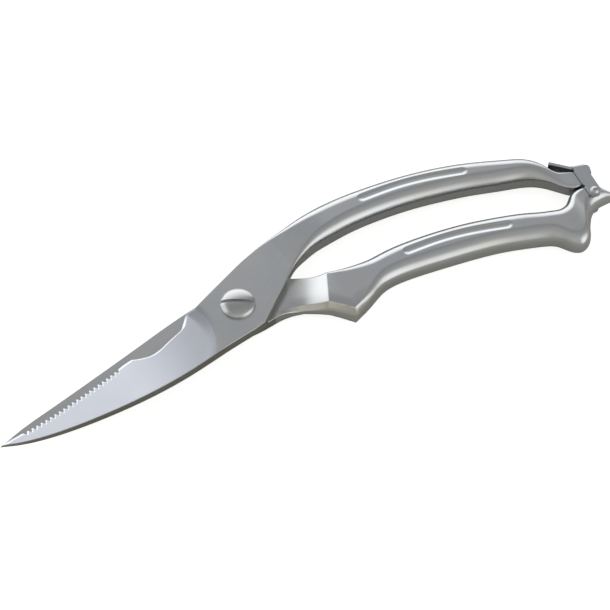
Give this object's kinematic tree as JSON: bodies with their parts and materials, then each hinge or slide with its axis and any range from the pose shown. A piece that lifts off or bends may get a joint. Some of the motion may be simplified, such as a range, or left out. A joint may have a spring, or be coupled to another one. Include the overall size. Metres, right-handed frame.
{
  "type": "poultry shears",
  "caption": "All-steel poultry shears with a serrated blade and bone notch, slotted pivot screw, curved handles and a swinging end latch.",
  "frame": {"origin": "middle of the flat rear face of the pivot nut, on the pivot axis", "axes": "+X from the pivot towards the handles, +Y towards the upper handle, +Z along the pivot axis out of the screw's head"},
  "size_m": [0.2508, 0.0604, 0.0131],
  "materials": {
    "arm_steel": "satin ground stainless steel",
    "screw_steel": "turned and lightly polished stainless steel",
    "nut_steel": "turned stainless steel",
    "spring_steel": "drawn stainless spring wire",
    "sheet_steel": "tumbled stainless sheet",
    "rivet_steel": "polished stainless steel"
  },
  "bodies": {
    "lower_arm": {"rear_arm": "arm_steel", "pivot_screw": "screw_steel", "pivot_nut": "nut_steel", "lock_washer": "spring_steel", "torsion_spring": "spring_steel", "latch_rivet": "rivet_steel", "rivet_washer": "rivet_steel"},
    "upper_arm": {"front_arm": "arm_steel"},
    "latch": {"latch_bail": "sheet_steel"}
  },
  "joints": [
    {"name": "blade_pivot", "type": "hinge", "parent": "lower_arm", "child": "upper_arm", "pos_m": [0, 0, 0.0063], "axis": [0, 0, 1], "range_deg": [0, 40], "deforming": ["torsion_spring"]},
    {"name": "latch_swing", "type": "hinge", "parent": "lower_arm", "child": "latch", "pos_m": [0.1433, -0.0123, 0.0063], "axis": [0, 0, -1], "range_deg": [0, 110]}
  ]
}
